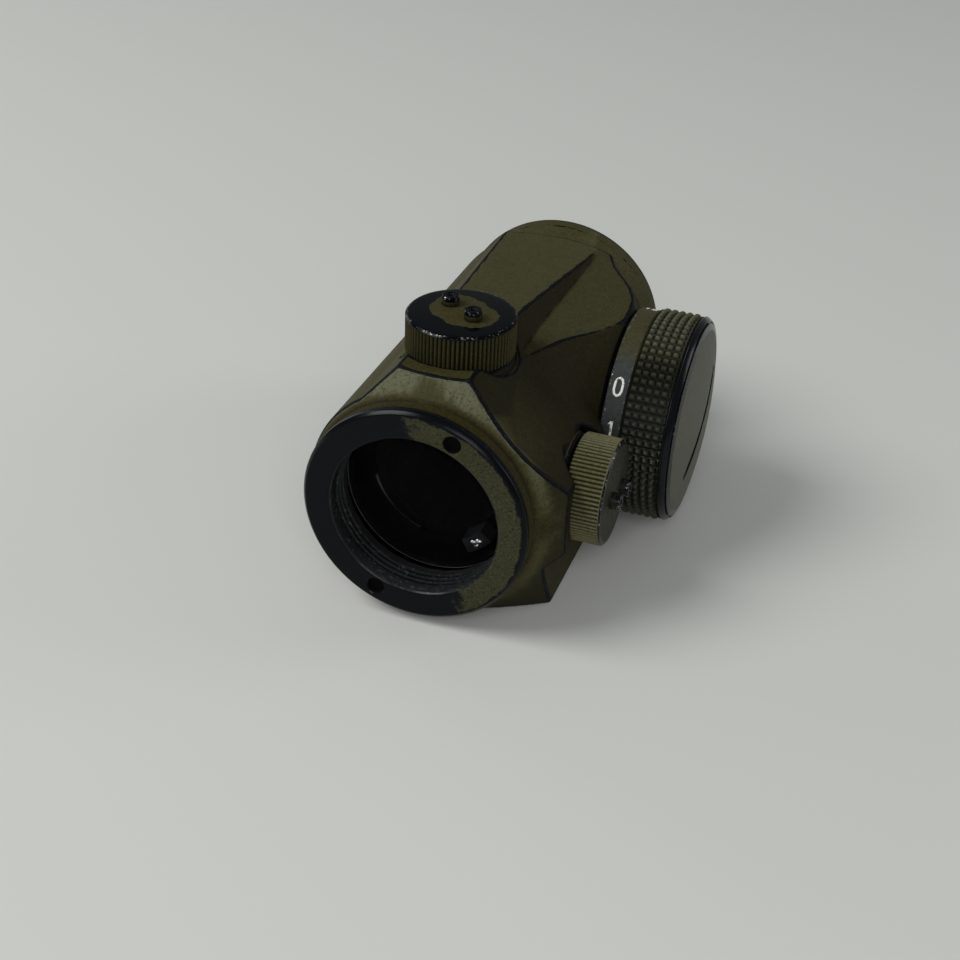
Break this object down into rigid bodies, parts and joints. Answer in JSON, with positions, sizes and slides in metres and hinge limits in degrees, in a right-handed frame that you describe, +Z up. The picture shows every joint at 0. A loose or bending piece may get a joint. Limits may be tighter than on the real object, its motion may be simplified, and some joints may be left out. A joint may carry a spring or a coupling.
{
  "type": "red dot sight",
  "caption": "Compact tubular red dot finder with an angular turret block, two ribbed turret caps and a knurled brightness knob closed by a domed battery cap.",
  "frame": {"origin": "centre of the flat mounting face under the base, midway along the 62 mm body", "axes": "+Y forward along the optical axis, +X towards the brightness knob, +Z up; the optical axis is 15.6 mm above the origin"},
  "size_m": [0.0432, 0.062, 0.038],
  "materials": {
    "olive_paint": "matte spray paint over aluminium, worn on the edges",
    "worn_black": "black anodising, half covered by olive overspray",
    "cap_paint": "ribbed, worn olive overspray",
    "knob_paint": "pyramid knurl, worn olive overspray",
    "battery_cap_paint": "smooth grey olive paint",
    "spring_steel": "bare",
    "cell_steel": "nickel plated can",
    "brass": "machined",
    "rubber": "matte",
    "black_anodised": "matte black",
    "glass": "coated",
    "board": "glass fibre board",
    "black_plastic": "matte",
    "led": "clear"
  },
  "bodies": {
    "frame": {"housing": "olive_paint", "rear_bezel_ring": "worn_black", "rear_bezel_seal": "rubber", "rear_window": "glass", "rear_window_seal": "rubber", "front_window": "glass", "front_window_ring": "black_anodised", "front_window_seal": "rubber", "control_board": "board", "tube_spring": "spring_steel", "elevation_lock_ring": "spring_steel", "windage_lock_ring": "spring_steel", "knob_clip": "spring_steel", "switch_board": "board", "contact_sleeve": "black_plastic", "contact_pin": "brass", "detent_ball": "spring_steel", "detent_spring": "spring_steel"},
    "tube_gimbal": {"pivot_ring": "brass"},
    "inner_tube": {"optic_tube": "black_anodised", "objective_lens": "glass", "led_holder": "black_plastic", "led_emitter": "led"},
    "elevation_cap_lift": {"elevation_cap_seal": "rubber"},
    "elevation_cap": {"elevation_cap": "cap_paint"},
    "windage_cap_lift": {"windage_cap_seal": "rubber"},
    "windage_cap": {"windage_cap": "cap_paint"},
    "elevation_adjuster": {"elevation_adjuster": "brass"},
    "elevation_plunger": {"elevation_plunger": "spring_steel"},
    "windage_adjuster": {"windage_adjuster": "brass"},
    "windage_plunger": {"windage_plunger": "spring_steel"},
    "knob": {"brightness_knob": "knob_paint", "switch_wiper": "brass", "coin_cell": "cell_steel", "cell_insulator": "black_plastic"},
    "battery_cap_lift": {"battery_cap_seal": "rubber"},
    "battery_cap": {"battery_cap": "battery_cap_paint", "cell_spring": "brass"}
  },
  "joints": [
    {"name": "brightness_turn", "type": "hinge", "parent": "frame", "child": "knob", "pos_m": [0.0166, 0.0065, 0.0156], "axis": [-1, 0, 0], "range_deg": [0, 288]},
    {"name": "battery_cap_rise", "type": "slide", "parent": "knob", "child": "battery_cap_lift", "axis": [1, 0, 0], "range_m": [0, 0.002]},
    {"name": "battery_cap_turn", "type": "hinge", "parent": "battery_cap_lift", "child": "battery_cap", "pos_m": [0.026, 0.0065, 0.0156], "axis": [1, 0, 0], "range_deg": [0, 720]},
    {"name": "elevation_cap_rise", "type": "slide", "parent": "frame", "child": "elevation_cap_lift", "axis": [0, 0, 1], "range_m": [0, 0.0015]},
    {"name": "elevation_cap_turn", "type": "hinge", "parent": "elevation_cap_lift", "child": "elevation_cap", "pos_m": [0, -0.0155, 0.0336], "axis": [0, 0, 1], "range_deg": [0, 720]},
    {"name": "windage_cap_rise", "type": "slide", "parent": "frame", "child": "windage_cap_lift", "axis": [1, 0, 0], "range_m": [0, 0.0015]},
    {"name": "windage_cap_turn", "type": "hinge", "parent": "windage_cap_lift", "child": "windage_cap", "pos_m": [0.0184, -0.0155, 0.0156], "axis": [1, 0, 0], "range_deg": [0, 720]},
    {"name": "elevation_adjust", "type": "hinge", "parent": "frame", "child": "elevation_adjuster", "pos_m": [0, -0.0155, 0.033], "axis": [0, 0, 1], "range_deg": [-450, 450]},
    {"name": "elevation_push", "type": "slide", "parent": "frame", "child": "elevation_plunger", "axis": [0, 0, -1], "range_m": [-0.000375, 0.000375]},
    {"name": "tube_tilt", "type": "hinge", "parent": "frame", "child": "tube_gimbal", "pos_m": [0, 0.01575, 0.0156], "axis": [1, 0, 0], "range_deg": [-0.7, 0.7]},
    {"name": "windage_adjust", "type": "hinge", "parent": "frame", "child": "windage_adjuster", "pos_m": [0.0178, -0.0155, 0.0156], "axis": [1, 0, 0], "range_deg": [-450, 450]},
    {"name": "windage_push", "type": "slide", "parent": "frame", "child": "windage_plunger", "axis": [-1, 0, 0], "range_m": [-0.000375, 0.000375]},
    {"name": "tube_yaw", "type": "hinge", "parent": "tube_gimbal", "child": "inner_tube", "pos_m": [0, 0.01575, 0.0156], "axis": [0, 0, -1], "range_deg": [-0.7, 0.7]}
  ],
  "couplings": [
    {"joint": "battery_cap_turn", "follows": "battery_cap_rise", "rad_per_m": 6283.1},
    {"joint": "elevation_cap_turn", "follows": "elevation_cap_rise", "rad_per_m": 8377.5},
    {"joint": "windage_cap_turn", "follows": "windage_cap_rise", "rad_per_m": 8377.5},
    {"joint": "elevation_adjust", "follows": "elevation_push", "rad_per_m": 20943},
    {"joint": "tube_tilt", "follows": "elevation_push", "rad_per_m": 32},
    {"joint": "windage_adjust", "follows": "windage_push", "rad_per_m": 20943},
    {"joint": "tube_yaw", "follows": "windage_push", "rad_per_m": 32}
  ]
}
